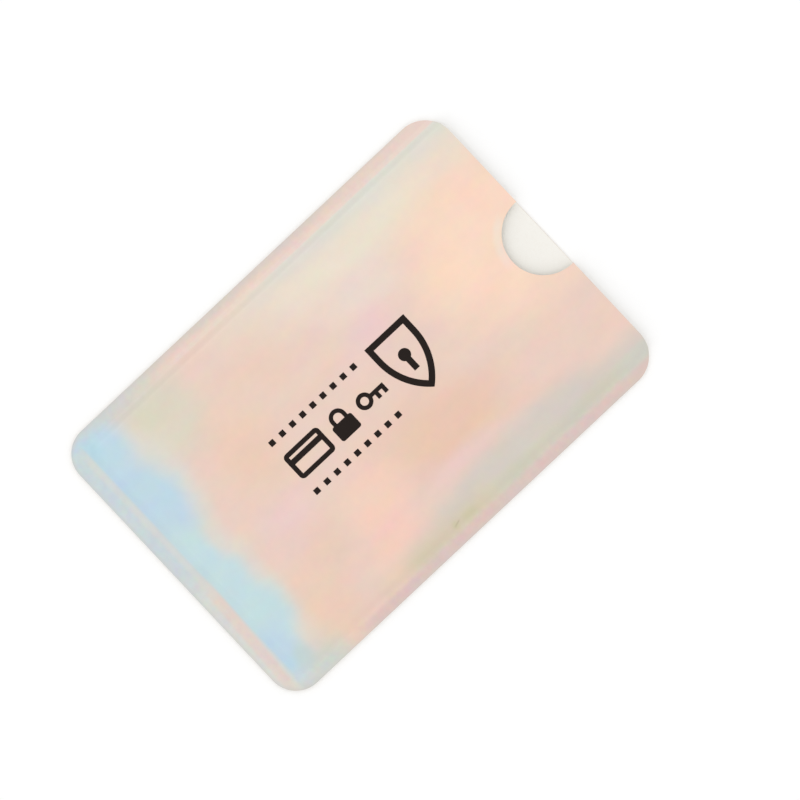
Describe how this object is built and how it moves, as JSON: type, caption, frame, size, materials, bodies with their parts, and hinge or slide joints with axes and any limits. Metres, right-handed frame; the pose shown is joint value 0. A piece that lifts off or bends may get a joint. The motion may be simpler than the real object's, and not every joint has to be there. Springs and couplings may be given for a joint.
{
  "type": "rfid card sleeve",
  "caption": "Slim laminated sleeve with foil shielding, bonded along its sides and bottom and open at one end with a thumb notch, that holds a wallet card.",
  "frame": {"origin": "centre of the rear face, on which the sleeve lies", "axes": "+Y along the length, towards the open mouth; +Z through the thickness, from the rear sheet to the front sheet with the thumb notch; +X across the width"},
  "size_m": [0.0622, 0.091, 0.0016],
  "materials": {
    "front_film": "gloss",
    "rear_film": "gloss",
    "foil": "satin",
    "board": "matte",
    "bond": "satin",
    "ink": "matte"
  },
  "bodies": {
    "root": {"rear_film": "rear_film", "rear_foil": "foil", "rear_board": "board", "left_bond": "bond", "right_bond": "bond", "bottom_bond": "bond", "front_board_panel": "board", "front_board_left_edge": "board", "front_board_right_edge": "board", "front_board_bottom_edge": "board", "front_board_left_corner": "board", "front_board_right_corner": "board", "front_foil": "foil", "front_film": "front_film", "shield_mark": "ink", "panel_mark": "ink", "lock_mark": "ink", "key_mark": "ink", "square_rows": "ink"}
  },
  "joints": []
}
